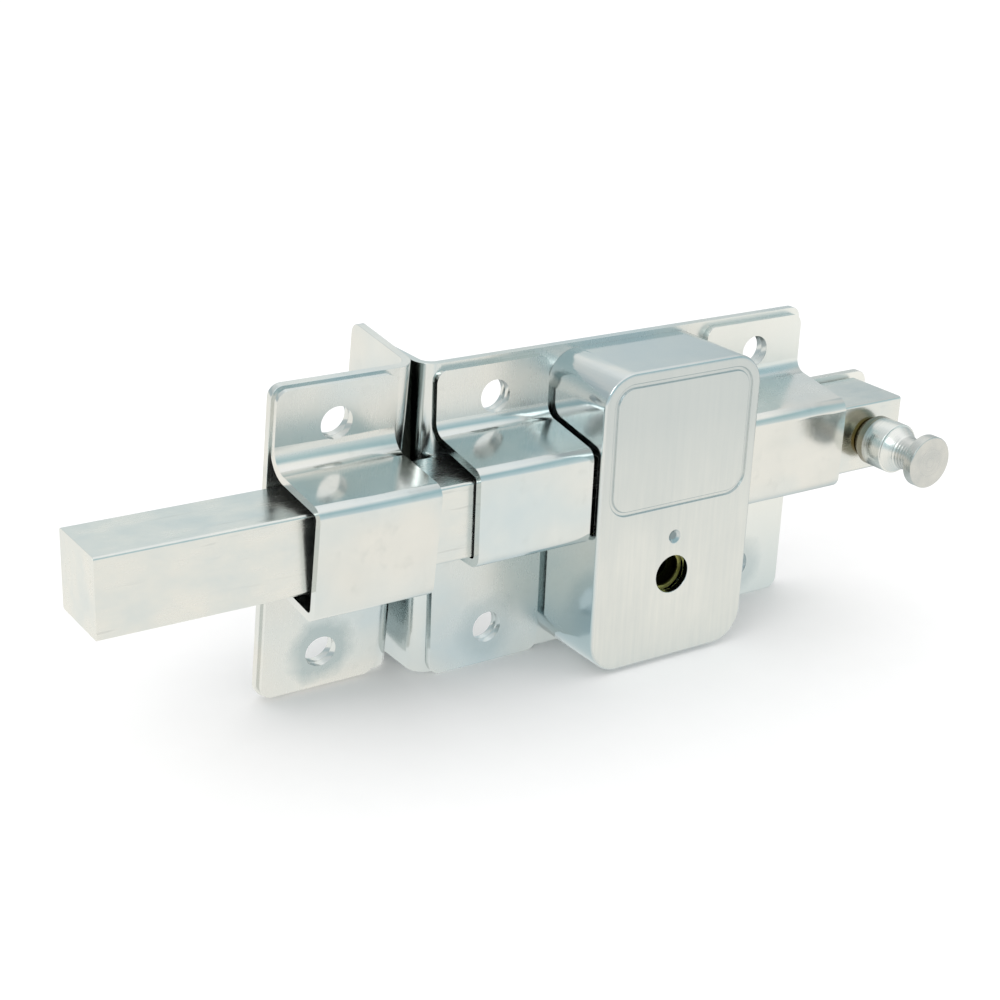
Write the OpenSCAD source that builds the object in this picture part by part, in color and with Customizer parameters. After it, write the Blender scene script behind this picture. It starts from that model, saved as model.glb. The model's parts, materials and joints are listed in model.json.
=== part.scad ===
// Surface-mounted bar lock with a square sliding bar, a key-driven dog and a separate keeper.
// The origin is the centre of the four screw holes, on the face that lies against the door.
// X runs along the bar, Z is up, and Y points into the door. Lengths are in millimetres.

/* [Bar] */
// Side of the square bar
bar_size = 19.05; // [18:0.05:20]
// Length of the bar
bar_length = 228.6; // [222:0.1:240]
// Height of the bar's centre line above the screw pattern's centre
bar_rise = 8; // [7:0.25:9]
// Travel of the bar from thrown to drawn back
bar_travel = 90; // [84:0.5:92]
// Rounding of the bar's long edges
bar_edge = 0.8; // [0.3:0.1:1.5]
// Width of the stop groove in the bar's back
groove_w = 6; // [5:0.25:7]
// Depth of the stop groove in the bar's back
groove_depth = 5; // [4:0.25:7]

/* [Bar clearances] */
// Gap behind the bar
bar_back_gap = 0.4; // [0.3:0.05:0.8]
// Gap between the bar and the front wall of the lock's guides
bar_front_gap = 0.6; // [0.4:0.05:1.2]
// Gap under the bar
bar_under_gap = 0.4; // [0.3:0.05:0.8]
// Gap above the bar at the front of the guides
bar_over_gap = 1.2; // [0.6:0.1:2]

/* [Sheet metal] */
// Thickness of the plates and guides
sheet = 2; // [1.8:0.1:2.2]
// Inside radius of the backplates' bends
plate_bend = 3; // [2:0.25:4]
// Inside radius of the guides' two concave bends
guide_bend_in = 1.5; // [1:0.1:2]
// Inside radius of the guides' two bends round the bar
guide_bend_bar = 1.2; // [1:0.1:2]
// Front radius of the bend between a guide's upper flange and its sloping top
guide_bend_top = 3.5; // [2.5:0.25:4]
// Slope of a guide's top wall
guide_slope = 10; // [6:1:16]
// Corner radius of the flanges and plates
flange_corner = 3; // [1.5:0.25:4]

/* [Mounting] */
// Diameter of the mounting holes
hole_d = 8.2; // [6:0.1:9]
// Distance between the lock's mounting holes along the bar
hole_pitch_x = 81.5; // [80:0.5:86]
// Distance between the mounting holes across the bar
hole_pitch_z = 61.2; // [60:0.1:64]

/* [Guides and plates] */
// Width of the lock's guides along the bar
guide_w = 32; // [31:0.5:33.5]
// Distance of the middle guide's centre to the left of its holes
guide_shift = 0.5; // [0:0.1:2]
// Height of the upper flanges above the holes
flange_over = 8.3; // [7:0.1:9.4]
// Height of the lower flanges below the holes
flange_under = 9.6; // [8:0.1:9.8]
// Height of the main backplate
plate_h = 80.6; // [80:0.1:86]
// Reach of the main backplate past the right pair of holes
plate_right = 16.5; // [14:0.25:18]
// Length of the return flanges behind the door's face
return_depth = 26; // [18:0.5:32]
// Distance from the left pair of holes to the door side of the lock's return flange
return_reach = 17.3; // [17:0.1:19]
// Gap between the lock's and the keeper's return flanges
return_gap = 3; // [0.6:0.1:3.6]
// Reach of the tongue behind the bar past the backplate
tongue_l = 27.4; // [20:0.1:34]
// Height of the tongue
tongue_h = 21.5; // [20.5:0.1:23]
// Corner radius of the tongue
tongue_corner = 3.5; // [2:0.25:6]

/* [Keeper] */
// Distance from the left pair of holes in the lock to the keeper's holes
keeper_pitch = 44.05; // [43:0.05:47]
// Width of the keeper's strap along the bar
keeper_w = 31; // [28:0.5:32]
// Reach of the keeper's backplate to the left of its holes
keeper_left = 16; // [16:0.1:19]
// Height of the keeper's backplate
keeper_plate_h = 82; // [81:0.2:84]
// Reach of the strap's flanges past the keeper's holes
keeper_flange = 9.9; // [8:0.1:9.9]
// Gap between the bar and the front wall of the strap
keeper_front_gap = 3.3; // [2.6:0.1:4]
// Gap above the bar in the strap
keeper_over_gap = 2.5; // [2:0.1:4]
// Gap under the bar in the strap
keeper_under_gap = 3.2; // [2:0.1:4]
// Front radius of the bend between the strap's upper flange and its top
keeper_bend_top = 5; // [3:0.25:6]
// Lean of the loose keeper, top forwards, as it hangs on the bar; 0 stands it square
keeper_lean = 7; // [0:0.5:7]

/* [Cover] */
// Width of the cover
cover_w = 48; // [46:0.2:49]
// Height of the cover
cover_h = 78; // [76:0.2:80]
// Wall thickness of the cover
cover_wall = 2; // [1.6:0.1:2.2]
// Corner radius of the cover
cover_corner = 8.5; // [7:0.25:9.5]
// Rounding of the cover's front edge
cover_edge = 0.9; // [0.4:0.1:1.4]
// Gap between the middle guide and the cover
cover_gap = 1.1; // [0.3:0.1:1.4]
// Gap between the cover and the right guide
right_gap = 0.4; // [0.4:0.1:1.4]
// Gap between the bar's front and the cover's inside
cover_front_gap = 2.6; // [2:0.1:3.6]
// Margin between the cover's outline and the panel's border
panel_margin = 2.8; // [2.4:0.1:3.6]
// Height of the panel inside its border
panel_h = 33.6; // [28:0.2:36]
// Corner radius of the panel's border
panel_corner = 5.6; // [4:0.2:6.4]
// Width of the panel's border line
border_w = 1; // [0.5:0.1:1.4]
// Depth of the panel's border line
border_depth = 0.4; // [0.15:0.05:0.5]
// Diameter of the index mark above the keyhole
index_d = 3.8; // [2:0.1:4]
// Depth of the index mark
index_depth = 0.7; // [0.2:0.05:0.9]
// Height of the index mark above the keyhole's centre
index_rise = 10.2; // [8.5:0.1:11]
// Diameter of the keyhole in the cover
keyhole_d = 10; // [9.4:0.1:11]

/* [Cover fixings] */
// Diameter of the threaded posts inside the cover
post_d = 7; // [6:0.25:8]
// Distance of a post's centre from the cover's outline
post_inset = 7.6; // [7:0.1:9]
// Thread diameter of the cover's screws
cover_screw_d = 4; // [3:0.25:4.5]
// Length of the cover's screws
cover_screw_l = 12; // [8:0.5:16]
// Head diameter of the cover's countersunk screws
cover_head_d = 7; // [6.4:0.1:8]

/* [Knob] */
// Distance of the knob from the bar's right end
knob_inset = 11; // [9:0.25:11.5]
// Gap along the bar between the right guide and the washer under the knob
knob_gap = 6.2; // [4:0.1:8]
// Diameter of the knob's foot
knob_foot_d = 10.2; // [9:0.1:11]
// Length of the taper from the knob's foot to its barrel
knob_taper_l = 2.6; // [1:0.1:5]
// Diameter of the knob's barrel
knob_d = 13.3; // [12:0.1:15]
// Diameter of the knob's head
knob_head_d = 13.8; // [11:0.1:15]
// Diameter of the neck under the knob's head
knob_neck_d = 8; // [6:0.1:9]
// Length of the knob's barrel from foot to shoulder
knob_barrel_l = 10.7; // [8:0.1:12]
// Length of the knob's neck
knob_neck_l = 8.8; // [6:0.1:10]
// Thickness of the knob's head
knob_head_l = 2.9; // [2:0.1:4]
// Diameter of the washer under the knob
washer_d = 10.8; // [10:0.1:12]
// Thickness of the washer under the knob
washer_t = 0.5; // [0.4:0.1:1.2]
// Diameter of the knob's shank in the bar
knob_shank_d = 6; // [5:0.25:8]
// Length of the knob's shank in the bar
knob_shank_l = 12; // [9:0.5:14]

/* [Key cylinder] */
// Drop of the key's axis below the bar's centre line
key_drop = 24; // [23.5:0.1:25]
// Diameter of the cylinder's barrel
barrel_d = 15; // [14:0.25:15.5]
// Diameter of the thin nose behind the keyhole
nose_d = 11.4; // [11:0.1:12.5]
// Gap between the nose and the cover's inside
nose_gap = 1.55; // [0.6:0.05:2]
// Length of the nose in front of the barrel
nose_l = 3.5; // [2:0.25:5]
// Diameter of the turning plug
plug_d = 9; // [8:0.1:9.4]
// Depth of the plug's face behind the end of the nose
plug_recess = 3.5; // [1:0.25:5]
// Diameter of the round key entry in the plug
entry_d = 7.2; // [6:0.1:7.6]
// Depth of the round key entry in the plug
entry_depth = 3; // [2:0.1:3.4]
// Reach of each arm of the cross-shaped keyway from the key's axis
keyway_arm = 2.3; // [2:0.1:2.6]
// Width of the keyway's arms
keyway_w = 1.6; // [1.2:0.1:2]
// Depth of the keyway behind the round key entry
keyway_depth = 5.8; // [5.6:0.05:5.9]
// Diameter of the pins
pin_d = 1.5; // [1.2:0.05:1.7]
// Distance between the pins
pin_pitch = 2; // [1.8:0.05:2.1]
// Distance of the first pin behind the round key entry
pin_start = 0.9; // [0.8:0.05:1]
// Length of the driver pins
driver_l = 3.6; // [3:0.1:5]
// Width of the pin housing under the barrel
housing_w = 6.8; // [5:0.2:8]
// Gap between the pin housing's foot and the cover's lower wall
housing_gap = 3.4; // [2.4:0.1:5]
// Thickness of the cap that closes the pin housing
pin_cap_t = 0.9; // [0.6:0.1:1.4]

/* [Cylinder fixings] */
// Distance between the pillars that carry the cylinder
pillar_pitch = 32; // [31:0.25:33]
// Diameter of the pillars
pillar_d = 6; // [5:0.25:6.5]
// Thickness of the cylinder's ears
ear_t = 1.6; // [1.2:0.1:2.4]
// Height of the cylinder's ears
ear_h = 10; // [8:0.25:11]
// Thread diameter of the cylinder's screws
ear_screw_d = 3; // [2.5:0.1:3.5]
// Head diameter of the cylinder's screws
ear_head_d = 5.4; // [4.6:0.1:6]
// Head height of the cylinder's screws
ear_head_h = 2; // [1.4:0.1:2.6]

/* [Dog and cam] */
// Throw of the crank pin from the key's axis
crank_r = 4; // [3.4:0.05:4.2]
// Turn of the key from unlocked to locked
key_turn = 90; // [80:1:90]
// Diameter of the crank pin
crank_d = 3; // [2.4:0.1:3.4]
// Clearance between the crank pin and each side of its slot
crank_gap = 0.2; // [0.15:0.01:0.3]
// Diameter of the cam
cam_d = 14; // [13:0.25:14.5]
// Thickness of the cam
cam_t = 2; // [1.8:0.1:2.6]
// Thread diameter of the cam's screw
cam_screw_d = 2.4; // [2:0.1:2.8]
// Depth of the cam's screw in the plug
cam_screw_bite = 1.2; // [1:0.05:1.3]
// Height of the cam screw's countersunk head
cam_head_h = 1.2; // [0.8:0.1:1.4]
// Thickness of the dog's plate
dog_t = 3; // [2:0.1:4]
// Width of the dog's plate
dog_w = 16; // [15:0.25:17]
// Width of the dog's head along the bar
dog_head_w = 12; // [9:0.25:13]
// Gap between the dog's head and the bar when unlocked
dog_rest_gap = 0.8; // [0.4:0.05:1.2]
// Gap between the dog's head and the sides and top of its notch
notch_gap = 0.4; // [0.3:0.05:0.8]
// Running gap between parts that slide or turn face to face
face_gap = 0.3; // [0.2:0.05:0.5]
// Side clearance of the dog in its guide
guide_gap = 0.1; // [0.05:0.01:0.2]
// Radial clearance of round running fits
running_gap = 0.05; // [0.02:0.01:0.1]
// Radial clearance of screws and rivets in their holes
fastener_gap = 0.05; // [0.02:0.01:0.1]
// Width of each rail of the dog's guide
rail_w = 4; // [3.6:0.1:4.2]
// Thickness of the guide's base
rail_base_t = 1.2; // [0.8:0.1:2]
// Diameter of the guide's rivets
rivet_d = 2.4; // [1.8:0.1:2.8]

/* [Hidden] */
$fn = 96;

steel = [0.80, 0.81, 0.80];
polished = [0.74, 0.78, 0.80];
brass = [0.72, 0.58, 0.30];
dark_steel = [0.48, 0.50, 0.52];

// Depths in front of the door's face
bar_back = sheet + bar_back_gap;
bar_front = bar_back + bar_size;
cover_inside = bar_front + cover_front_gap;
cover_front = cover_inside + cover_wall;
dog_back = sheet + rail_base_t + face_gap;
dog_front = dog_back + dog_t;
cam_back = dog_front + face_gap;
cam_front = cam_back + cam_t;
barrel_back = cam_front + face_gap;
nose_front = cover_inside - nose_gap;
barrel_front = nose_front - nose_l;
plug_front = nose_front - plug_recess;

// Places along the bar
hole_left = -hole_pitch_x / 2;
hole_right = hole_pitch_x / 2;
middle_x = hole_left - guide_shift;
cover_x = middle_x + guide_w / 2 + cover_gap + cover_w / 2;
right_x = cover_x + cover_w / 2 + right_gap + guide_w / 2;
keeper_x = hole_left - keeper_pitch;
knob_x = right_x + guide_w / 2 + knob_gap + washer_d / 2;
bar_left = knob_x + knob_inset - bar_length;
return_x = hole_left - return_reach;
keeper_return_x = return_x - 2 * sheet - return_gap;
plate_end = hole_right + plate_right;

// Heights
bar_top = bar_rise + bar_size / 2;
bar_bottom = bar_rise - bar_size / 2;
key_z = bar_rise - key_drop;
hole_top = hole_pitch_z / 2;
flange_top = hole_top + flange_over;
flange_bottom = -hole_top - flange_under;

// The crank lifts the dog evenly about the key's axis
crank_half = key_turn / 2;
dog_travel = 2 * crank_r * sin(crank_half);
crank_x = -crank_r * cos(crank_half);
crank_z = key_z - crank_r * sin(crank_half);
dog_top = bar_bottom - dog_rest_gap;
dog_head_bottom = key_z + barrel_d / 2 + 2 * face_gap;
notch_depth = dog_travel - dog_rest_gap + notch_gap;
dog_foot = crank_z - crank_d / 2 - crank_gap - 4;
rail_foot = dog_foot - 3;
rail_top = bar_bottom - 1;
rivet_x = dog_w / 2 + guide_gap + rail_w / 2;
rivet_z = [key_z - cam_d / 2 - 4, rail_top - 3];

// Pin housing below the key's axis, and its pins from the front backwards
housing_drop = cover_h / 2 - cover_wall + key_z - housing_gap;
pin_depths = [for (i = [0 : 2]) plug_front - entry_depth - pin_start - i * pin_pitch];
pin_foot = -plug_d / 2 + 0.12;
driver_top = -plug_d / 2 - running_gap - 0.08;
pin_cap_top = -housing_drop + pin_cap_t;

// Lays a drawing of the front on the door: x stays, y becomes height, z becomes depth in front
module front_view() {
    rotate([90, 0, 0]) children();
}

// Extrudes a section of height and depth along the bar
module along_bar(from, length) {
    translate([from, 0, 0]) rotate([90, 0, 90]) linear_extrude(length) children();
}

module rounded_rect(w, h, r) {
    square([w - 2 * r, h], center = true);
    square([w, h - 2 * r], center = true);
    for (sx = [-1, 1], sy = [-1, 1])
        translate([sx * (w / 2 - r), sy * (h / 2 - r)]) circle(r);
}

// A part of a ring between two angles up to 90 degrees apart
module ring_sector(r_in, r_out, from, to) {
    reach = 10;
    mid = (from + to) / 2;
    intersection() {
        difference() {
            circle(r_out);
            circle(r_in);
        }
        polygon([[0, 0], reach * [cos(from), sin(from)], reach * [cos(mid), sin(mid)],
            reach * [cos(to), sin(to)]]);
    }
}

// Section of a guide in height and depth: lower flange, floor, front wall, top wall, flange
module guide_section(front_gap, over_gap, under_gap, slope, bend_top, top, bottom) {
    wall = bar_front + front_gap;
    floor_inside = bar_bottom - under_gap;
    floor_bend = floor_inside - sheet - guide_bend_in;
    top_bend = [bar_top + over_gap - guide_bend_bar * cos(slope), wall - guide_bend_bar];
    out = [cos(slope), sin(slope)];
    down = [sin(slope), -cos(slope)];
    across = guide_bend_bar + sheet + bend_top;
    flange_bend_v = 2 * sheet + bend_top;
    run = (top_bend[1] + across * out[1] - flange_bend_v) / cos(slope);
    flange_bend_u = top_bend[0] + across * out[0] + run * down[0];
    translate([bottom - sheet, sheet]) square([floor_bend - bottom + sheet, sheet]);
    translate([floor_bend, 2 * sheet + guide_bend_in])
        ring_sector(guide_bend_in, guide_bend_in + sheet, -90, 0);
    translate([floor_inside - sheet, 2 * sheet + guide_bend_in])
        square([sheet, wall - guide_bend_bar - 2 * sheet - guide_bend_in]);
    translate([floor_inside + guide_bend_bar, wall - guide_bend_bar])
        ring_sector(guide_bend_bar, guide_bend_bar + sheet, 90, 180);
    translate([floor_inside + guide_bend_bar, wall])
        square([top_bend[0] - floor_inside - guide_bend_bar, sheet]);
    translate(top_bend)
        ring_sector(guide_bend_bar, guide_bend_bar + sheet, slope, 90);
    sloping_wall(top_bend, out, down, run);
    translate([flange_bend_u, flange_bend_v])
        ring_sector(bend_top, bend_top + sheet, 180 + slope, 270);
    translate([flange_bend_u, sheet]) square([top + sheet - flange_bend_u, sheet]);
}

// The wall between two bends, let into both bends and a hair thinner than they are
module sloping_wall(bend, out, down, run) {
    lap = 0.05;
    hair = 0.002;
    inner = bend + (guide_bend_bar + hair) * out - lap * down;
    outer = bend + (guide_bend_bar + sheet - hair) * out - lap * down;
    reach = (run + 2 * lap) * down;
    polygon([inner, inner + reach, outer + reach, outer]);
}

// A pressed guide over the bar, with a hole in each flange at hole_x
module guide(center_x, w, hole_x, top, bottom) {
    difference() {
        intersection() {
            front_view() along_bar(center_x - w, 2 * w) children();
            front_view() linear_extrude(2 * bar_front)
                translate([center_x, (top + bottom) / 2])
                    rounded_rect(w, top - bottom, flange_corner);
        }
        mounting_holes(hole_x);
    }
}

module lock_guide(center_x, hole_x) {
    guide(center_x, guide_w, hole_x, flange_top, flange_bottom)
        guide_section(bar_front_gap, bar_over_gap, bar_under_gap, guide_slope, guide_bend_top,
            flange_top, flange_bottom);
}

// The holes above and below the bar, through plate and guide alike
module mounting_holes(x) {
    for (z = [-hole_top, hole_top])
        front_view() translate([x, z, -1]) cylinder(d = hole_d, h = 2 * sheet + 2);
}

// Outline with its two right corners rounded
module right_rounded(w, h, r) {
    translate([w / 2, 0]) rounded_rect(w, h, r);
    translate([0, -h / 2]) square([w / 2, h]);
}

// A backplate bent back into the door gap; side is 1 when the plate runs to the right of its bend
module bent_plate(bend_x, run, plate_height, side) {
    mirrored = side > 0 ? 0 : 1;
    translate([bend_x, 0, 0]) mirror([mirrored, 0, 0]) {
        front_view() translate([plate_bend, 0, 0]) linear_extrude(sheet)
            right_rounded(run - plate_bend, plate_height, flange_corner);
        translate([plate_bend, plate_bend, -plate_height / 2]) linear_extrude(plate_height)
            ring_sector(plate_bend, plate_bend + sheet, 180, 270);
        translate([0, plate_bend, 0]) rotate([90, 0, -90]) mirror([1, 0, 0])
            linear_extrude(sheet)
                right_rounded(return_depth - plate_bend, plate_height, flange_corner);
    }
}

module cover_screw_places() {
    dx = cover_w / 2 - post_inset;
    dz = cover_h / 2 - post_inset;
    for (sx = [-1, 1], sz = [-1, 1])
        translate([cover_x + sx * dx, sz * dz, 0]) children();
}

module rivet_places() {
    for (sx = [-1, 1], z = rivet_z)
        translate([cover_x + sx * rivet_x, z, 0]) children();
}

module pillar_places() {
    for (sx = [-1, 1])
        translate([cover_x + sx * pillar_pitch / 2, key_z, 0]) children();
}

module at_key() {
    translate([cover_x, key_z, 0]) children();
}

// A screw with a 45 degree head that lies in the door's face, grown on all sides by gap
module countersunk_screw(gap) {
    head_h = (cover_head_d - cover_screw_d) / 2;
    translate([0, 0, -gap])
        cylinder(d1 = cover_head_d + 4 * gap, d2 = cover_screw_d + 2 * gap, h = head_h + gap);
    translate([0, 0, head_h / 2])
        cylinder(d = cover_screw_d + 2 * gap, h = cover_screw_l - head_h / 2 + gap);
}

module main_backplate() {
    color(polished) difference() {
        union() {
            bent_plate(return_x, plate_end - return_x, plate_h, 1);
            front_view() translate([plate_end - tongue_corner - 1, bar_rise, 0])
                linear_extrude(sheet)
                    right_rounded(tongue_l + tongue_corner + 1, tongue_h, tongue_corner);
        }
        for (x = [hole_left, hole_right])
            mounting_holes(x);
        front_view() cover_screw_places() countersunk_screw(fastener_gap);
        front_view() rivet_places() translate([0, 0, -1])
            cylinder(d = rivet_d + 2 * fastener_gap, h = sheet + 2);
        front_view() translate([cover_x, bar_rise, -1])
            cylinder(d = groove_w - 2 * guide_gap + 2 * fastener_gap, h = sheet + 2);
    }
}

module middle_guide() {
    color(polished) lock_guide(middle_x, hole_left);
}

module right_guide() {
    color(polished) lock_guide(right_x, hole_right);
}

// Turns the keeper about the bar and sets it back until its plate clears the bar's upper edge
module keeper_hang() {
    center_y = -bar_back - bar_size / 2;
    set_back = bar_size / 2 * sin(keeper_lean);
    translate([0, center_y + set_back, bar_rise]) rotate([keeper_lean, 0, 0])
        translate([0, -center_y, -bar_rise]) children();
}

module keeper_strap() {
    end = hole_top + keeper_flange;
    color(polished) keeper_hang() guide(keeper_x, keeper_w, keeper_x, end, -end)
        guide_section(keeper_front_gap, keeper_over_gap, keeper_under_gap, 0, keeper_bend_top,
            end, -end);
}

module keeper_backplate() {
    color(polished) keeper_hang() difference() {
        bent_plate(keeper_return_x, keeper_return_x - keeper_x + keeper_left, keeper_plate_h, -1);
        mounting_holes(keeper_x);
    }
}

// A slab with round corners and a rounded front edge
module pillow_slab(w, h, t, r, edge) {
    linear_extrude(t - edge) rounded_rect(w, h, r);
    translate([0, 0, t - edge]) {
        linear_extrude(edge) square([w - 2 * r, h - 2 * r], center = true);
        for (turn = [0, 180]) {
            rotate(turn) translate([w / 2 - r, h / 2 - r, 0]) rim_corner(r, edge);
            rotate(turn) mirror([1, 0, 0]) translate([w / 2 - r, h / 2 - r, 0]) rim_corner(r, edge);
            rotate(turn) translate([w / 2 - r, 0, 0]) rim_side(h - 2 * r, r, edge);
            rotate(turn + 90) translate([h / 2 - r, 0, 0]) rim_side(w - 2 * r, r, edge);
        }
    }
}

module rim_section(r, edge) {
    square([r - edge, edge]);
    intersection() {
        translate([r - edge, 0]) circle(edge);
        translate([r - edge, 0]) square(edge);
    }
}

module rim_corner(r, edge) {
    rotate_extrude(angle = 90) rim_section(r, edge);
}

module rim_side(length, r, edge) {
    translate([0, length / 2, 0]) rotate([90, 0, 0]) linear_extrude(length) rim_section(r, edge);
}

module lock_cover() {
    side_window = bar_top + bar_over_gap - bar_bottom + bar_under_gap;
    panel_w = cover_w - 2 * panel_margin;
    panel_z = cover_h / 2 - panel_margin - panel_h / 2;
    color(steel) front_view() difference() {
        translate([cover_x, 0, sheet])
            pillow_slab(cover_w, cover_h, cover_front - sheet, cover_corner, cover_edge);
        translate([cover_x, 0, 0]) linear_extrude(cover_inside)
            rounded_rect(cover_w - 2 * cover_wall, cover_h - 2 * cover_wall,
                cover_corner - cover_wall);
        translate([cover_x - cover_w, bar_bottom - bar_under_gap, 0])
            cube([2 * cover_w, side_window, cover_inside]);
        at_key() translate([0, 0, cover_inside - 1]) cylinder(d = keyhole_d, h = cover_wall + 2);
        at_key() translate([0, index_rise, cover_front - index_depth])
            cylinder(d1 = index_d / 2, d2 = index_d, h = index_depth + 0.01);
        translate([cover_x, panel_z, cover_front - border_depth]) linear_extrude(1)
            difference() {
                rounded_rect(panel_w, panel_h, panel_corner);
                rounded_rect(panel_w - 2 * border_w, panel_h - 2 * border_w,
                    panel_corner - border_w);
            }
    }
}

module cover_posts() {
    color(dark_steel) front_view() cover_screw_places() difference() {
        translate([0, 0, sheet]) cylinder(d = post_d, h = cover_inside - sheet);
        translate([0, 0, sheet - 1])
            cylinder(d = cover_screw_d + 2 * fastener_gap, h = cover_screw_l + 2 - sheet + 1);
    }
}

module cover_screws() {
    socket_w = cover_screw_d / 2;
    color(dark_steel) front_view() cover_screw_places() difference() {
        countersunk_screw(0);
        translate([0, 0, -1]) cylinder(d = socket_w, h = 2.2, $fn = 6);
    }
}

module square_bar() {
    color(steel) difference() {
        front_view() along_bar(bar_left, bar_length) translate([bar_rise, bar_back + bar_size / 2])
            rounded_rect(bar_size, bar_size, bar_edge);
        for (x = [cover_x, cover_x - bar_travel])
            front_view() translate([x - dog_head_w / 2 - notch_gap, bar_bottom - 1, 0])
                cube([dog_head_w + 2 * notch_gap, notch_depth + 1, bar_front + 1]);
        stop_groove();
        front_view() translate([knob_x, bar_rise, bar_front - knob_shank_l - 0.5])
            cylinder(d = knob_shank_d + 2 * fastener_gap, h = knob_shank_l + 1);
    }
}

// Groove in the bar's back, with round ends that meet the stop pin
module stop_groove() {
    half = groove_w / 2;
    right_end = cover_x + notch_gap;
    left_end = cover_x - bar_travel - notch_gap;
    front_view() translate([0, bar_rise, bar_back - 1]) {
        translate([left_end, -half, 0]) cube([right_end - left_end, groove_w, groove_depth + 1]);
        for (x = [left_end, right_end])
            translate([x, 0, 0]) cylinder(r = half, h = groove_depth + 1);
    }
}

module bar_stop_pin() {
    color(dark_steel) front_view() translate([cover_x, bar_rise, 0])
        cylinder(d = groove_w - 2 * guide_gap, h = bar_back + groove_depth - face_gap);
}

module pull_knob() {
    shoulder = washer_t + knob_barrel_l;
    head = shoulder + knob_neck_l;
    top = head + knob_head_l;
    bevel = 0.2;
    hollow = knob_d / 2 - 2 * bevel - knob_neck_d / 2;
    steps = 8;
    neck = [for (i = [0 : steps])
        [knob_neck_d / 2 + hollow * pow(1 - i / steps, 3), shoulder + knob_neck_l * i / steps]];
    color(steel) front_view() translate([knob_x, bar_rise, bar_front]) {
        rotate_extrude() polygon(concat(
            [[0, washer_t], [knob_foot_d / 2, washer_t], [knob_d / 2, washer_t + knob_taper_l]],
            [[knob_d / 2, shoulder - bevel], [knob_d / 2 - bevel, shoulder]],
            neck,
            [[knob_head_d / 2 - bevel, head], [knob_head_d / 2, head + bevel]],
            [[knob_head_d / 2, top - bevel], [knob_head_d / 2 - bevel, top], [0, top]]));
        translate([0, 0, -knob_shank_l])
            cylinder(d = knob_shank_d, h = knob_shank_l + washer_t + 1);
    }
}

module knob_washer() {
    color(brass) front_view() translate([knob_x, bar_rise, bar_front]) difference() {
        cylinder(d = washer_d, h = washer_t);
        translate([0, 0, -1]) cylinder(d = knob_shank_d + 2 * fastener_gap, h = washer_t + 2);
    }
}

module pin_bores(from, to) {
    for (depth = pin_depths)
        translate([0, to, depth]) rotate([90, 0, 0])
            cylinder(d = pin_d + 2 * running_gap, h = to - from);
}

module cylinder_body() {
    ear_span = pillar_pitch + ear_h - 2;
    color(brass) front_view() at_key() difference() {
        union() {
            translate([0, 0, barrel_back]) cylinder(d = barrel_d, h = barrel_front - barrel_back);
            translate([0, 0, barrel_back]) cylinder(d = nose_d, h = nose_front - barrel_back);
            translate([-housing_w / 2, -housing_drop, barrel_back])
                cube([housing_w, housing_drop, barrel_front - barrel_back - face_gap]);
            translate([0, 0, barrel_back]) linear_extrude(ear_t)
                rounded_rect(ear_span, ear_h, 2);
        }
        translate([0, 0, barrel_back - 1])
            cylinder(d = plug_d + 2 * running_gap, h = nose_front - barrel_back + 2);
        pin_bores(-housing_drop - 1, 0);
        translate([-housing_w / 4 - 0.05, -housing_drop - 1, barrel_back + 0.6])
            cube([housing_w / 2 + 0.1, 1 + pin_cap_t, barrel_front - barrel_back - face_gap - 1.2]);
        for (sx = [-1, 1]) translate([sx * pillar_pitch / 2, 0, barrel_back - 1])
            cylinder(d = ear_screw_d + 2 * fastener_gap, h = ear_t + 2);
    }
}

module cylinder_plug() {
    plug_l = plug_front - cam_front;
    keyway_front = plug_front - entry_depth;
    color(brass) front_view() at_key() difference() {
        translate([0, 0, cam_front]) cylinder(d = plug_d, h = plug_l);
        translate([0, 0, keyway_front]) cylinder(d = entry_d, h = entry_depth + 1);
        for (size = [[keyway_w, 2 * keyway_arm], [2 * keyway_arm, keyway_w]])
            translate([0, 0, keyway_front - keyway_depth]) linear_extrude(keyway_depth + 1)
                square(size, center = true);
        pin_bores(-plug_d, 0);
        translate([0, 0, cam_front - 1])
            cylinder(d = cam_screw_d + 2 * fastener_gap, h = 1 + cam_screw_bite + fastener_gap);
    }
}

module key_pins() {
    color(brass) front_view() at_key() for (depth = pin_depths)
        translate([0, -keyway_arm - running_gap, depth]) rotate([90, 0, 0])
            cylinder(d = pin_d, h = -pin_foot - keyway_arm - running_gap);
}

module driver_pins() {
    color(steel) front_view() at_key() for (depth = pin_depths)
        translate([0, driver_top, depth]) rotate([90, 0, 0]) cylinder(d = pin_d, h = driver_l);
}

// Each spring is a thin sleeve that fills the chamber between the driver pin and the cap
module pin_springs() {
    top = driver_top - driver_l - 0.02;
    color(steel) front_view() at_key() for (depth = pin_depths)
        translate([0, top, depth]) rotate([90, 0, 0]) difference() {
            cylinder(d = pin_d - 0.05, h = top - pin_cap_top - 0.02);
            translate([0, 0, -1]) cylinder(d = pin_d / 2, h = housing_drop);
        }
}

module pin_cap() {
    color(brass) front_view() at_key()
        translate([-housing_w / 4, -housing_drop, barrel_back + 0.65])
            cube([housing_w / 2, pin_cap_t, barrel_front - barrel_back - face_gap - 1.3]);
}

module drive_cam() {
    color(dark_steel) front_view() at_key() difference() {
        union() {
            translate([0, 0, cam_back]) cylinder(d = cam_d, h = cam_t);
            translate([crank_x, crank_z - key_z, dog_back])
                cylinder(d = crank_d, h = cam_back - dog_back + 1);
        }
        cam_screw_shape(fastener_gap);
    }
}

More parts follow.
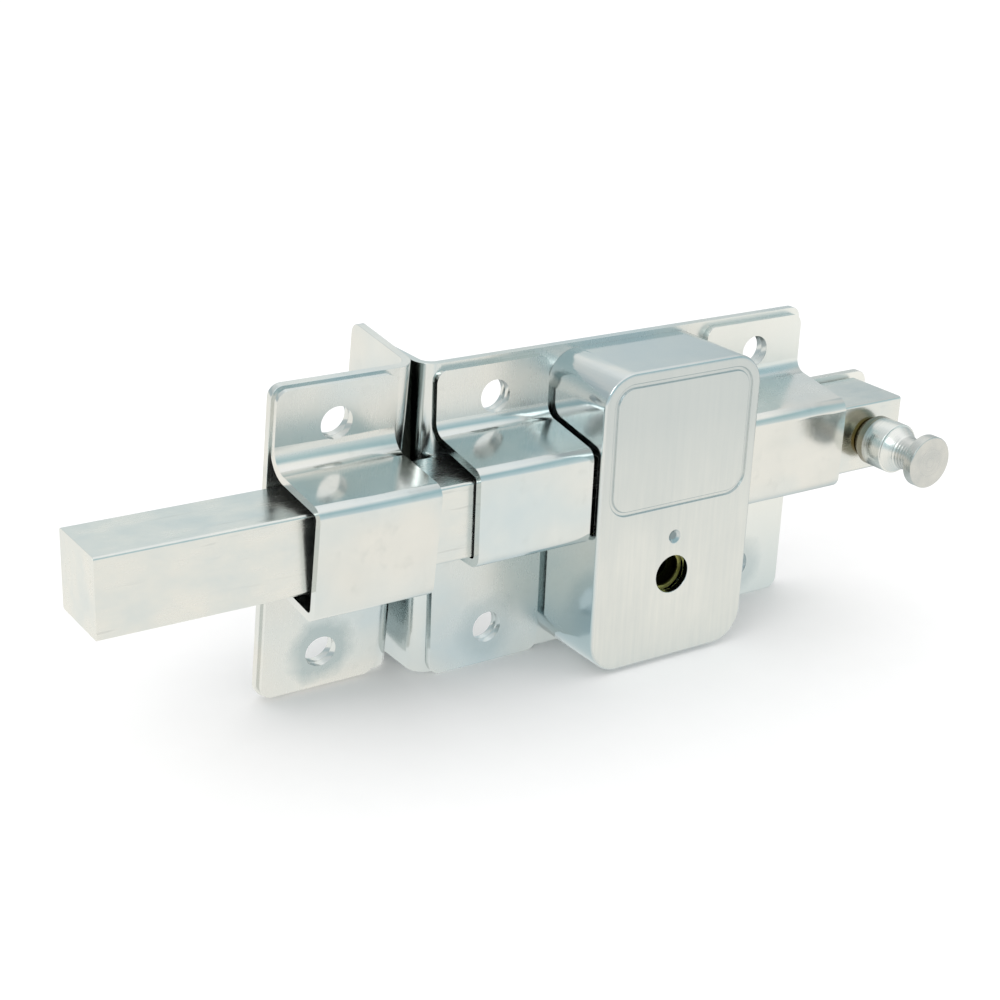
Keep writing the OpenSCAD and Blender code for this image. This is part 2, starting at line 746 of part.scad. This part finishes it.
// The screw's flat head lies in the cam's back; the shape is grown on all sides by gap
module cam_screw_shape(gap) {
    translate([0, 0, cam_back - gap])
        cylinder(d1 = cam_screw_d + 2 * cam_head_h + 4 * gap, d2 = cam_screw_d + 2 * gap,
            h = cam_head_h + gap);
    translate([0, 0, cam_back + cam_head_h / 2])
        cylinder(d = cam_screw_d + 2 * gap, h = cam_t + cam_screw_bite - cam_head_h / 2);
}

module cam_screw() {
    color(steel) front_view() at_key() cam_screw_shape(0);
}

module locking_dog() {
    slot_h = crank_d + 2 * crank_gap;
    slot_left = -crank_r - crank_d / 2 - face_gap;
    slot_right = crank_x + crank_d / 2 + face_gap;
    head_front = barrel_front - face_gap;
    color(dark_steel) front_view() translate([cover_x, 0, 0]) difference() {
        union() {
            translate([-dog_w / 2, dog_foot, dog_back])
                cube([dog_w, dog_head_bottom - dog_foot, dog_t]);
            translate([-dog_head_w / 2, dog_head_bottom, dog_back])
                cube([dog_head_w, dog_top - dog_head_bottom, head_front - dog_back]);
        }
        translate([slot_left, crank_z - slot_h / 2, dog_back - 1])
            cube([slot_right - slot_left, slot_h, dog_t + 2]);
    }
}

module dog_guide() {
    rail_x = dog_w / 2 + guide_gap;
    rail_h = rail_top - rail_foot;
    color(dark_steel) front_view() difference() {
        translate([cover_x, 0, 0]) {
            translate([-rail_x - rail_w, rail_foot, sheet])
                cube([2 * (rail_x + rail_w), rail_h, rail_base_t]);
            for (sx = [-1, 1])
                translate([sx * (rail_x + rail_w / 2) - rail_w / 2, rail_foot, sheet])
                    cube([rail_w, rail_h, dog_front - sheet]);
        }
        rivet_places() cylinder(d = rivet_d + 2 * fastener_gap, h = 2 * dog_front);
    }
}

module guide_rivets() {
    head_d = rivet_d + 1.4;
    color(steel) front_view() rivet_places() {
        cylinder(d = rivet_d, h = dog_front + 0.1);
        translate([0, 0, dog_front]) cylinder(d1 = head_d, d2 = rivet_d, h = 0.9);
    }
}

module cylinder_pillars() {
    color(dark_steel) front_view() pillar_places() difference() {
        translate([0, 0, sheet]) cylinder(d = pillar_d, h = barrel_back - sheet);
        translate([0, 0, sheet + 1]) cylinder(d = ear_screw_d + 2 * fastener_gap, h = barrel_back);
    }
}

module cylinder_screws() {
    color(steel) front_view() pillar_places() difference() {
        union() {
            translate([0, 0, sheet + 1.5])
                cylinder(d = ear_screw_d, h = barrel_back + ear_t - sheet - 1);
            translate([0, 0, barrel_back + ear_t]) cylinder(d = ear_head_d, h = ear_head_h);
        }
        translate([0, 0, barrel_back + ear_t + ear_head_h / 2])
            linear_extrude(ear_head_h) square([2 * ear_head_d, ear_head_d / 6], center = true);
    }
}

main_backplate();
middle_guide();
right_guide();
keeper_backplate();
keeper_strap();
lock_cover();
cover_posts();
cover_screws();
square_bar();
pull_knob();
knob_washer();
bar_stop_pin();
cylinder_body();
cylinder_plug();
key_pins();
driver_pins();
pin_springs();
pin_cap();
drive_cam();
cam_screw();
locking_dog();
dog_guide();
guide_rivets();
cylinder_pillars();
cylinder_screws();
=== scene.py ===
import json
import math

import bpy
from mathutils import Matrix, Vector


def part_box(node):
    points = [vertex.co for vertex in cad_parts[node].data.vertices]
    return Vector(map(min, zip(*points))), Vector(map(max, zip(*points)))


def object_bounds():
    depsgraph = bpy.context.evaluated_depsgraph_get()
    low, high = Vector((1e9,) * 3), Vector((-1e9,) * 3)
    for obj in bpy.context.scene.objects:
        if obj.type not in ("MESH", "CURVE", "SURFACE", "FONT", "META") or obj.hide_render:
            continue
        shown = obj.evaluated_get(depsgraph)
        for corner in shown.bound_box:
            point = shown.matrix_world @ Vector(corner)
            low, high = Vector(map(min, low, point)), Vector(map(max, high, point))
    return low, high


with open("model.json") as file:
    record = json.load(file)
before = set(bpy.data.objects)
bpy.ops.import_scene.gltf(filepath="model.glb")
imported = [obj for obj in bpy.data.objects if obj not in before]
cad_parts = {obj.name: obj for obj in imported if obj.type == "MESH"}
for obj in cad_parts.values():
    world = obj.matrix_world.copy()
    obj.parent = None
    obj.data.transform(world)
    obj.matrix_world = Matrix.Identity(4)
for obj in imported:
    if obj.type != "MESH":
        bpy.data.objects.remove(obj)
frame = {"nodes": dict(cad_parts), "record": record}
cad_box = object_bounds()
MM = 0.001

# The band that most of a noise's values fall in
NOISE_BAND = (0.3, 0.7)

# The places on the sheets that look different: a low and a high end on X, Y or Z
FLANGE_FRONT_Y = (-12 * MM, -8 * MM)
GUIDE_WALL_Y = (-21 * MM, -18 * MM)
RIGHT_OF_COVER_X = (20 * MM, 26 * MM)
DOOR_GAP_X = (-63.4 * MM, -59.8 * MM)
DOOR_GAP_Z = (-12 * MM, 5 * MM)

# The lower screw holes with a halo of painted dull bluish reflection: X, Z and how strong the halo
# is
HALO_HOLES = (
    (-84.8 * MM, -28.9 * MM, 0.75),
    (-40.75 * MM, -30.6 * MM, 0.35),
    (40.75 * MM, -30.6 * MM, 0.35),
)
HALO_OUTER = 10.0 * MM
HALO_INNER = 6.0 * MM
HALO_UNEVEN = 1.2 * MM

# The panel engraved in the cover's front: its margin, height, corner and border
PANEL_MARGIN = 2.8 * MM
PANEL_HEIGHT = 33.6 * MM
PANEL_CORNER = 5.6 * MM
BORDER_WIDTH = 1.0 * MM

# The index mark on the cover: its height, and where its painted shade ends and is full
INDEX_HEIGHT = -5.8 * MM
INDEX_EDGE = (2.1 * MM, 1.9 * MM)

# The knob's tapered foot from the shank's end, its neck from the head's face, and its grooves
KNOB_FOOT = 16.6 * MM
KNOB_TAPER = 1.5 * MM
KNOB_HEAD = 3.4 * MM
KNOB_NECK = 8.6 * MM
GROOVE_PITCH = 0.85 * MM

# The key's axis, and radii from it: the cylinder's nose ring with its painted highlight, its bore
# with painted shade, and the far washer with painted shade
KEY_AXIS_Z = -16.0 * MM
NOSE_RADII = (4.5 * MM, 6.2 * MM)
BORE_EDGE = (4.62 * MM, 4.52 * MM)
WASHER_RADII = (30 * MM, 40 * MM)

# The bevel on each softened piece, in millimetres
BEVELS = {
    "main_backplate": 0.2,
    "middle_guide": 0.2,
    "right_guide": 0.2,
    "keeper_backplate": 0.2,
    "keeper_strap": 0.2,
    "lock_cover": 0.25,
    "square_bar": 0.35,
    "pull_knob": 0.15,
}
WELD_DISTANCE = 0.002 * MM
FLAT_ANGLE = 0.4
SHARP_ANGLE = 35

FLOOR_REACH = 3.0

# The only lamp: its place, side, power and colour
LAMP_PLACE = (-0.9, -0.5, 0.9)
LAMP_SIDE = 0.6
LAMP_WATTS = 2.0
LAMP_COLOUR = (1.0, 0.99, 0.97)

# The camera fitted to the photograph: its place in metres, the way it looks and its right side
CAMERA_PLACE = (-0.2741, -0.3494, 0.1694)
CAMERA_LOOK = (0.5214, 0.7706, -0.3666)
CAMERA_RIGHT = (0.8357, -0.5479, 0.0370)
FOCAL_PIXELS = 1833.3
PHOTO_PIXELS = 1000
SENSOR_WIDTH = 36.0
CAMERA_SHIFT = (0.0072, -0.0052)
CAMERA_CLIP = (0.01, 20)


class Graph:
    """Adds nodes to a tree and links them."""

    def __init__(self, tree):
        self.tree = tree
        tree.nodes.clear()

    def add(self, kind, inputs=None, **settings):
        """A new node with these settings, and its inputs fed with sockets or values."""
        node = self.tree.nodes.new(kind)
        for key, value in settings.items():
            setattr(node, key, value)
        for key, value in (inputs or {}).items():
            self.feed(node.inputs[key], value)
        return node

    def feed(self, socket, value):
        if isinstance(value, bpy.types.NodeSocket):
            self.tree.links.new(value, socket)
        else:
            socket.default_value = value

    def math(self, operation, a, b=0.0):
        return self.add("ShaderNodeMath", {0: a, 1: b}, operation=operation).outputs[0]

    def plus(self, a, b):
        return self.math("ADD", a, b)

    def minus(self, a, b):
        return self.math("SUBTRACT", a, b)

    def times(self, a, b):
        return self.math("MULTIPLY", a, b)

    def split(self, vector):
        """The X, Y and Z of a vector."""
        return self.add("ShaderNodeSeparateXYZ", {"Vector": vector}).outputs

    def span(self, value, low, high, to=(0.0, 1.0)):
        """The value carried from low..high to the two values of to, and held at their ends."""
        node = self.add("ShaderNodeMapRange", {
            "Value": value, "From Min": low, "From Max": high, "To Min": to[0], "To Max": to[1]})
        return node.outputs["Result"]

    def within(self, value, low, high, soft):
        """One between low and high, falling to zero over soft beyond them."""
        rise = self.span(value, low - soft, low)
        fall = self.span(value, high, high + soft, to=(1.0, 0.0))
        return self.times(rise, fall)

    def radius(self, a, b):
        """The distance from the origin to the point (a, b)."""
        squares = self.plus(self.math("POWER", a, 2.0), self.math("POWER", b, 2.0))
        return self.math("SQRT", squares)

    def around(self, place, axis):
        """The place as seen from a line along Y through axis, and its distance from the line."""
        local = self.add("ShaderNodeVectorMath", {0: place, 1: axis}, operation="SUBTRACT")
        parts = self.split(local.outputs[0])
        return parts, self.radius(parts["X"], parts["Z"])

    def outline_distance(self, a, b, half_a, half_b, corner):
        """The distance out from a rectangle with round corners, below zero inside it."""
        over_a = self.minus(self.math("ABSOLUTE", a), half_a - corner)
        over_b = self.minus(self.math("ABSOLUTE", b), half_b - corner)
        outside = self.radius(self.math("MAXIMUM", over_a, 0.0), self.math("MAXIMUM", over_b, 0.0))
        inside = self.math("MINIMUM", self.math("MAXIMUM", over_a, over_b), 0.0)
        return self.minus(self.plus(outside, inside), corner)

    def noise(self, coords, stretch, detail, rough):
        mapped = self.add("ShaderNodeMapping", {"Vector": coords, "Scale": stretch})
        node = self.add("ShaderNodeTexNoise", {
            "Vector": mapped.outputs[0], "Scale": 1.0, "Detail": detail, "Roughness": rough})
        return node.outputs["Fac"]

    def mix(self, factor, a, b, kind="RGBA", blend="MIX"):
        """From a, where the factor is zero, to b, where it is one."""
        node = self.add("ShaderNodeMix", {"Factor": factor, "A": a, "B": b},
                        data_type=kind, blend_type=blend)
        return node.outputs["Result"]

    def patches(self, noise, dark, light, band=NOISE_BAND):
        """Two colours in the patches of a noise."""
        return self.mix(self.span(noise, *band), dark, light)

    def ramp(self, value, stops):
        node = self.add("ShaderNodeValToRGB", {"Fac": value})
        elements = node.color_ramp.elements
        while len(elements) < len(stops):
            elements.new(0.5)
        for element, (place, colour) in zip(elements, stops):
            element.position = place
            element.color = (*colour, 1.0)
        return node.outputs["Color"]

    def bump(self, height, depth, normal=None):
        node = self.add("ShaderNodeBump", {"Height": height, "Distance": depth})
        if normal is not None:
            self.feed(node.inputs["Normal"], normal)
        return node.outputs["Normal"]

    def metal(self, colour, rough, normal=None):
        """Ends a material as a metal."""
        shader = self.add("ShaderNodeBsdfPrincipled", {
            "Metallic": 1.0, "Base Color": colour, "Roughness": rough})
        if normal is not None:
            self.feed(shader.inputs["Normal"], normal)
        self.end(shader, "ShaderNodeOutputMaterial")

    def end(self, shader, kind):
        self.add(kind, {"Surface": shader.outputs[0]})


def new_material(name):
    material = bpy.data.materials.new(name)
    material.use_nodes = True
    return material, Graph(material.node_tree)


def rgb(*display):
    """A linear colour from a display colour given from 0 to 255."""
    def linear(value):
        value /= 255
        return value / 12.92 if value <= 0.04045 else ((value + 0.055) / 1.055) ** 2.4
    return (*map(linear, display), 1.0)


def halo(g, spot, stain, hole_x, hole_z, strength):
    """How strong the uneven halo of painted reflection round a screw hole is."""
    from_hole = g.radius(g.minus(spot["X"], hole_x), g.minus(spot["Z"], hole_z))
    uneven = g.span(stain, *NOISE_BAND, to=(-HALO_UNEVEN, HALO_UNEVEN))
    return g.span(g.plus(from_hole, uneven), HALO_OUTER, HALO_INNER, to=(0.0, strength))


def plated_sheet():
    """Bright plated sheet in cool and warm patches.

    Its low front faces are duller, those right of the cover get painted light, the inside of the
    door gap gets painted shade, and the lower screw holes get a halo of painted bluish reflection.
    """
    material, g = new_material("plated_sheet")
    coords = g.add("ShaderNodeTexCoord").outputs
    place = coords["Object"]
    facing = g.split(coords["Normal"])
    spot = g.split(place)
    cloud = g.noise(place, stretch=(60, 60, 60), detail=4.0, rough=0.55)
    stain = g.noise(place, stretch=(170, 170, 170), detail=5.0, rough=0.6)
    fine = g.noise(place, stretch=(1500, 1500, 120), detail=3.0, rough=0.6)
    wave = g.noise(place, stretch=(42, 60, 42), detail=1.0, rough=0.4)
    tint = g.noise(place, stretch=(26, 26, 34), detail=2.0, rough=0.5)

    low_front = g.times(g.span(facing["Y"], -0.90, -0.98), g.span(spot["Y"], *FLANGE_FRONT_Y))
    beside = g.span(spot["X"], *RIGHT_OF_COVER_X)
    sideways = g.span(g.math("ABSOLUTE", facing["X"]), 0.35, 0.8)
    gap = g.times(g.within(spot["X"], *DOOR_GAP_X, 0.2 * MM), sideways)

    cool = g.patches(cloud, rgb(206, 217, 221), rgb(219, 225, 225))
    warm = g.patches(cloud, rgb(217, 219, 216), rgb(228, 228, 224))
    colour = g.mix(g.span(tint, 0.38, 0.60), cool, warm)
    colour = g.mix(g.span(stain, 0.58, 0.80, to=(0.0, 0.35)), colour, rgb(190, 196, 194))
    # Painted light: the low front faces right of the cover turn whiter
    painted_light = g.times(g.times(beside, low_front), 0.75)
    colour = g.mix(painted_light, colour, rgb(246, 246, 242))
    # Painted shade on the sideways faces inside the door gap, stronger towards the top
    gap_shade = g.times(gap, g.span(spot["Z"], *DOOR_GAP_Z, to=(0.0, 0.6)))
    colour = g.mix(gap_shade, colour, rgb(92, 96, 84))
    # Painted reflection: a dull bluish halo round each lower screw hole on the low front faces
    for hole in HALO_HOLES:
        hole_reflection = g.times(halo(g, spot, stain, *hole), low_front)
        colour = g.mix(hole_reflection, colour, rgb(168, 184, 188))

    rough = g.plus(g.span(cloud, 0.3, 0.72, to=(0.09, 0.17)),
                   g.span(fine, 0.3, 0.8, to=(0.0, 0.05)))
    rough = g.plus(rough, g.times(low_front, 0.12))
    behind_wall = g.span(spot["Y"], *GUIDE_WALL_Y, to=(0.0, 0.13))
    rough = g.plus(rough, g.times(beside, behind_wall))

    normal = g.bump(wave, 0.32 * MM)
    normal = g.bump(stain, 0.012 * MM, normal)
    normal = g.bump(fine, 0.002 * MM, normal)
    g.metal(colour, rough, normal)
    return material


def brushed_cover():
    """Fine upright brushing on the front; the sides and the top are polished."""
    material, g = new_material("brushed_cover")
    low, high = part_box("lock_cover")
    coords = g.add("ShaderNodeTexCoord").outputs
    place = coords["Object"]
    facing = g.split(coords["Normal"])
    spot = g.split(place)
    front = g.span(g.times(facing["Y"], -1.0), 0.75, 0.98)
    brush = g.noise(place, stretch=(1500, 300, 22), detail=3.0, rough=0.6)
    hair = g.noise(place, stretch=(900, 200, 60), detail=2.0, rough=0.5)
    cloud = g.noise(place, stretch=(48, 48, 40), detail=4.0, rough=0.55)

    # The brushed front, with painted shade towards its top
    tone = g.plus(g.times(cloud, 0.65), g.times(hair, 0.35))
    satin = g.patches(tone, rgb(218, 221, 219), rgb(230, 231, 227), band=(0.36, 0.64))
    top_shade = g.span(spot["Z"], -15 * MM, 25 * MM, to=(0.0, 0.70))
    satin = g.mix(top_shade, satin, rgb(196, 204, 206))

    # Painted shade: darker blue-grey lines along both edges of the panel's engraved border
    across = g.minus(spot["X"], (low[0] + high[0]) / 2)
    panel_up = g.minus(spot["Z"], high[2] - PANEL_MARGIN - PANEL_HEIGHT / 2)
    outline = g.outline_distance(across, panel_up, (high[0] - low[0]) / 2 - PANEL_MARGIN,
                                 PANEL_HEIGHT / 2, PANEL_CORNER)
    from_line = g.math("ABSOLUTE", g.plus(outline, BORDER_WIDTH / 2))
    edges = g.within(from_line, BORDER_WIDTH / 2 - 0.12 * MM, BORDER_WIDTH / 2 + 0.10 * MM,
                     0.10 * MM)
    satin = g.mix(g.times(edges, 0.62), satin, rgb(112, 142, 152))

    # Painted shade in the sunk index mark
    sunk = g.span(spot["Y"], low[1] + 0.04 * MM, low[1] + 0.2 * MM)
    from_index = g.radius(across, g.minus(spot["Z"], INDEX_HEIGHT))
    index_shade = g.times(g.span(from_index, *INDEX_EDGE), sunk)
    satin = g.mix(g.times(index_shade, 0.8), satin, rgb(104, 126, 134))

    # The polished sides, with painted bluish shade low on the left
    polish = g.patches(cloud, rgb(206, 214, 217), rgb(219, 222, 220))
    left_shade = g.times(g.span(facing["X"], -0.7, -0.95),
                   g.span(spot["Z"], 5 * MM, -15 * MM, to=(0.0, 0.6)))
    polish = g.mix(left_shade, polish, rgb(176, 198, 204))

    rough = g.mix(front, g.span(cloud, *NOISE_BAND, to=(0.09, 0.16)),
                  g.span(brush, *NOISE_BAND, to=(0.32, 0.42)), kind="FLOAT")
    depth = g.times(brush, g.span(front, 0.0, 1.0, to=(0.1, 1.0)))
    normal = g.bump(depth, 0.006 * MM)
    normal = g.bump(cloud, 0.10 * MM, normal)
    g.metal(g.mix(front, polish, satin), rough, normal)
    return material


def drawn_bar():
    """Drawn steel: faint scratches along the bar over a cloudy skin."""
    material, g = new_material("drawn_bar")
    place = g.add("ShaderNodeTexCoord").outputs["Object"]
    draw = g.noise(place, stretch=(30, 1500, 1500), detail=4.0, rough=0.6)
    scratch = g.noise(place, stretch=(60, 900, 900), detail=2.0, rough=0.5)
    cloud = g.noise(place, stretch=(75, 110, 110), detail=5.0, rough=0.6)
    colour = g.patches(cloud, rgb(214, 220, 220), rgb(230, 230, 225), band=(0.32, 0.68))
    marks = g.times(g.span(scratch, 0.66, 0.74), 0.25)
    colour = g.mix(marks, colour, rgb(184, 187, 186))
    rough = g.plus(g.span(cloud, *NOISE_BAND, to=(0.18, 0.30)),
                   g.span(draw, *NOISE_BAND, to=(-0.03, 0.03)))
    normal = g.bump(draw, 0.005 * MM)
    normal = g.bump(cloud, 0.06 * MM, normal)
    g.metal(colour, rough, normal)
    return material


def turned_steel():
    """Lathe marks: rings round the knob's axis and a grooved neck, with painted light on the wide
    part and a painted brownish reflection of the brass at the end towards the bar.
    """
    material, g = new_material("turned_steel")
    low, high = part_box("pull_knob")
    place = g.add("ShaderNodeTexCoord").outputs["Object"]
    parts, radius = g.around(place, ((low[0] + high[0]) / 2, 0.0, (low[2] + high[2]) / 2))
    along = parts["Y"]
    rings = g.add("ShaderNodeCombineXYZ", {"X": radius, "Y": along}).outputs[0]
    turn = g.noise(rings, stretch=(1500, 1300, 1), detail=3.0, rough=0.6)
    broad = g.noise(rings, stretch=(520, 420, 1), detail=2.0, rough=0.5)
    cloud = g.noise(place, stretch=(160, 160, 160), detail=3.0, rough=0.5)

    colour = g.patches(cloud, rgb(196, 199, 198), rgb(214, 214, 210))
    colour = g.mix(g.span(turn, 0.55, 0.75, to=(0.0, 0.3)), colour, rgb(164, 170, 172))
    foot_y = high[1] - KNOB_FOOT
    # Painted reflection: a brownish tone of the nearby brass from the foot to the shank's end
    foot_reflection = g.span(along, foot_y - 0.3 * MM, foot_y, to=(0.0, 0.8))
    colour = g.mix(foot_reflection, colour, rgb(132, 124, 96))
    neck_y = low[1] + KNOB_NECK
    # Painted light on the knob's barrel
    barrel_light = g.within(along, neck_y, foot_y - KNOB_TAPER, 0.6 * MM)
    colour = g.mix(g.times(barrel_light, 0.8), colour, rgb(234, 236, 233))

    neck = g.within(along, low[1] + KNOB_HEAD, neck_y, 0.8 * MM)
    groove = g.math("SINE", g.times(along, 2 * math.pi / GROOVE_PITCH))
    normal = g.bump(g.times(groove, neck), 0.035 * MM)
    normal = g.bump(turn, 0.03 * MM, normal)
    normal = g.bump(broad, 0.09 * MM, normal)
    g.metal(colour, g.span(turn, *NOISE_BAND, to=(0.16, 0.30)), normal)
    return material


def brass():
    """Brass with a dull olive skin, a painted highlight on the cylinder's nose, painted shade
    inside its bore, and painted shade on the brass from 30 mm off the key's axis outwards.
    """
    material, g = new_material("brass")
    low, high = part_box("cylinder_plug")
    place = g.add("ShaderNodeTexCoord").outputs["Object"]
    parts, radius = g.around(place, ((low[0] + high[0]) / 2, 0.0, KEY_AXIS_Z))
    cloud = g.noise(place, stretch=(260, 260, 260), detail=4.0, rough=0.55)
    skin = g.patches(cloud, rgb(118, 110, 62), rgb(160, 146, 88))
    # Painted shade on the far washer
    washer_shade = g.span(radius, *WASHER_RADII, to=(0.0, 0.7))
    skin = g.mix(washer_shade, skin, rgb(96, 78, 42))
    # Painted highlight: the cylinder's nose ring is bright yellow
    nose_highlight = g.patches(cloud, rgb(236, 232, 140), rgb(250, 247, 172))
    # Painted shade inside the bore
    bore_shade = g.patches(cloud, rgb(40, 46, 28), rgb(62, 66, 40))
    nose = g.times(g.within(radius, *NOSE_RADII, 0.1 * MM),
                   g.span(parts["Y"], -21.8 * MM, -22.2 * MM))
    bore = g.times(g.span(radius, *BORE_EDGE), g.span(parts["Y"], -10 * MM, -14 * MM))
    colour = g.mix(bore, g.mix(nose, skin, nose_highlight), bore_shade)
    rough = g.plus(g.span(cloud, *NOISE_BAND, to=(0.28, 0.45)), g.times(nose, 0.25))
    g.metal(colour, rough)
    return material


def plain_metal(name, dark, light, rough):
    """A cloudy metal with a fine grain; rough gives its two ends."""
    material, g = new_material(name)
    place = g.add("ShaderNodeTexCoord").outputs["Object"]
    cloud = g.noise(place, stretch=(220, 220, 220), detail=4.0, rough=0.55)
    fine = g.noise(place, stretch=(3000, 3000, 3000), detail=2.0, rough=0.5)
    g.metal(g.patches(cloud, dark, light), g.span(cloud, *NOISE_BAND, to=rough),
            g.bump(fine, 0.01 * MM))
    return material


def dress():
    """Gives every CAD node the material of its slot."""
    materials = {
        "plated_sheet": plated_sheet(),
        "brushed_cover": brushed_cover(),
        "drawn_bar": drawn_bar(),
        "turned_steel": turned_steel(),
        "brass": brass(),
        "dark_steel": plain_metal(
            "dark_steel", rgb(120, 122, 124), rgb(150, 152, 154), (0.3, 0.45)),
        "spring_steel": plain_metal(
            "spring_steel", rgb(150, 152, 154), rgb(178, 180, 182), (0.2, 0.35)),
        "zinc_fastener": plain_metal(
            "zinc_fastener", rgb(176, 182, 184), rgb(208, 212, 212), (0.2, 0.34)),
    }
    slots = {row["node"]: row["material_slot"] for row in frame["record"]["subparts"]}
    for name, obj in frame["nodes"].items():
        obj.data.materials.clear()
        obj.data.materials.append(materials[slots[name]])


def soften(obj, width):
    """Rounds a CAD node's sharp edges with modifiers, so that they catch the light."""
    weld = obj.modifiers.new("weld", "WELD")
    weld.merge_threshold = WELD_DISTANCE
    flat = obj.modifiers.new("flat", "DECIMATE")
    flat.decimate_type = "DISSOLVE"
    flat.angle_limit = math.radians(FLAT_ANGLE)
    bevel = obj.modifiers.new("bevel", "BEVEL")
    bevel.width = width * MM
    bevel.segments = 3
    bevel.limit_method = "ANGLE"
    bevel.angle_limit = math.radians(SHARP_ANGLE)
    bevel.miter_outer = "MITER_ARC"
    bevel.use_clamp_overlap = True
    bevel.harden_normals = True


def floor_material():
    """Pale paper; to the metal, a glowing painted reflection: white in front, grey with painted
    shadow near and behind the lock, and a painted dark shadow spot at the right.
    """
    material, g = new_material("studio_floor")
    rays = g.add("ShaderNodeLightPath").outputs
    place = g.add("ShaderNodeTexCoord").outputs["Object"]
    grain = g.noise(place, stretch=(90, 90, 90), detail=2.0, rough=0.5)
    paper = g.add("ShaderNodeBsdfDiffuse", {
        "Color": g.mix(grain, (0.92, 0.92, 0.92, 1.0), (0.94, 0.94, 0.94, 1.0))})
    parts = g.split(place)
    # Painted shadow in what the metal sees: the floor greys near and behind the lock
    shadow_reach = g.times(g.span(parts["Y"], -70 * MM, 70 * MM), g.span(parts["X"], -95 * MM, -35 * MM))
    seen = g.ramp(shadow_reach, [
        (0.0, (1.05, 1.03, 0.975)), (0.18, (0.98, 0.97, 0.92)), (0.34, (0.80, 0.84, 0.83)),
        (0.46, (0.70, 0.76, 0.76)), (0.60, (0.50, 0.55, 0.55)), (1.0, (0.46, 0.50, 0.50))])
    # Painted shadow: a dark spot behind the right end, seen by the metal
    shadow_spot = g.times(g.span(parts["Y"], 0.0, 35 * MM),
                    g.within(parts["X"], 60 * MM, 95 * MM, 35 * MM))
    seen = g.mix(shadow_spot, seen, (0.10, 0.12, 0.11, 1.0))
    # Glossy rays see this painted reflection as a glow; all other rays see the paper
    reflection_glow = g.add("ShaderNodeEmission", {"Color": seen, "Strength": 1.0})
    mixed = g.add("ShaderNodeMixShader", {
        0: rays["Is Glossy Ray"], 1: paper.outputs[0], 2: reflection_glow.outputs[0]})
    g.end(mixed, "ShaderNodeOutputMaterial")
    return material


def studio_floor():
    reach, z = FLOOR_REACH, cad_box[0][2]
    mesh = bpy.data.meshes.new("studio_floor")
    mesh.from_pydata(
        [(-reach, -reach, z), (reach, -reach, z), (reach, reach, z), (-reach, reach, z)],
        [], [(0, 1, 2, 3)])
    floor = bpy.data.objects.new("studio_floor", mesh)
    bpy.context.scene.collection.objects.link(floor)
    mesh.materials.append(floor_material())


def studio_world():
    """White to the camera and the floor; to the metal, white panels with a blue-grey side."""
    world = bpy.data.worlds.new("studio")
    bpy.context.scene.world = world
    world.use_nodes = True
    g = Graph(world.node_tree)
    parts = g.split(g.add("ShaderNodeTexCoord").outputs["Generated"])
    height = g.span(parts["Z"], -0.2, 1.0)
    behind = g.ramp(height, [
        (0.0, (0.90, 0.92, 0.91)), (0.17, (0.86, 0.89, 0.89)), (0.32, (0.72, 0.80, 0.81)),
        (0.43, (0.70, 0.78, 0.79)), (0.51, (0.80, 0.86, 0.86)), (0.60, (1.0, 1.0, 0.97)),
        (0.80, (0.97, 1.0, 1.0)), (1.0, (1.1, 1.1, 1.1))])
    ahead = g.ramp(height, [
        (0.0, (1.0, 0.99, 0.95)), (0.17, (0.90, 0.94, 0.94)), (0.30, (0.66, 0.78, 0.80)),
        (0.45, (0.56, 0.71, 0.74)), (0.67, (0.43, 0.61, 0.65)), (0.76, (0.72, 0.83, 0.85)),
        (0.84, (1.05, 1.05, 1.02)), (1.0, (1.1, 1.1, 1.1))])
    across = g.ramp(g.span(parts["X"], -1.0, 1.0), [
        (0.25, (0.72, 0.74, 0.75)), (0.45, (0.80, 0.82, 0.82)), (0.575, (1.0, 1.0, 1.0)),
        (0.685, (1.0, 1.0, 0.99)), (0.80, (0.95, 0.95, 0.95)), (0.84, (0.82, 0.82, 0.82)),
        (1.0, (0.70, 0.70, 0.70))])
    behind = g.mix(1.0, behind, across, blend="MULTIPLY")
    sky = g.mix(g.span(parts["Y"], 0.10, -0.25), behind, ahead)
    rays = g.add("ShaderNodeLightPath").outputs
    plain = g.mix(rays["Is Camera Ray"], (1.16, 1.16, 1.16, 1.0), (1.0, 1.0, 1.0, 1.0))
    colour = g.mix(rays["Is Glossy Ray"], plain, sky)
    shader = g.add("ShaderNodeBackground", {"Color": colour, "Strength": 1.0})
    g.end(shader, "ShaderNodeOutputWorld")


def left_light():
    """A soft square lamp, turned to the origin."""
    data = bpy.data.lights.new("left_light", "AREA")
    data.shape = "RECTANGLE"
    data.size = data.size_y = LAMP_SIDE
    data.energy = LAMP_WATTS
    data.color = LAMP_COLOUR
    lamp = bpy.data.objects.new("left_light", data)
    bpy.context.scene.collection.objects.link(lamp)
    lamp.location = LAMP_PLACE
    lamp.rotation_euler = (-Vector(LAMP_PLACE)).to_track_quat("-Z", "Y").to_euler()


def photo_camera():
    data = bpy.data.cameras.new("camera")
    camera = bpy.data.objects.new("camera", data)
    bpy.context.scene.collection.objects.link(camera)
    look = Vector(CAMERA_LOOK).normalized()
    right = Vector(CAMERA_RIGHT)
    right = (right - right.dot(look) * look).normalized()
    up = right.cross(look)
    turn = Matrix((right, up, -look)).transposed().to_4x4()
    camera.matrix_world = Matrix.Translation(CAMERA_PLACE) @ turn
    data.sensor_fit = "HORIZONTAL"
    data.sensor_width = SENSOR_WIDTH
    data.lens = FOCAL_PIXELS / PHOTO_PIXELS * SENSOR_WIDTH
    data.shift_x, data.shift_y = CAMERA_SHIFT
    data.clip_start, data.clip_end = CAMERA_CLIP
    bpy.context.scene.camera = camera


dress()
for name, width in BEVELS.items():
    soften(frame["nodes"][name], width)
studio_floor()
studio_world()
left_light()
photo_camera()
bpy.context.scene.view_settings.view_transform = "Standard"
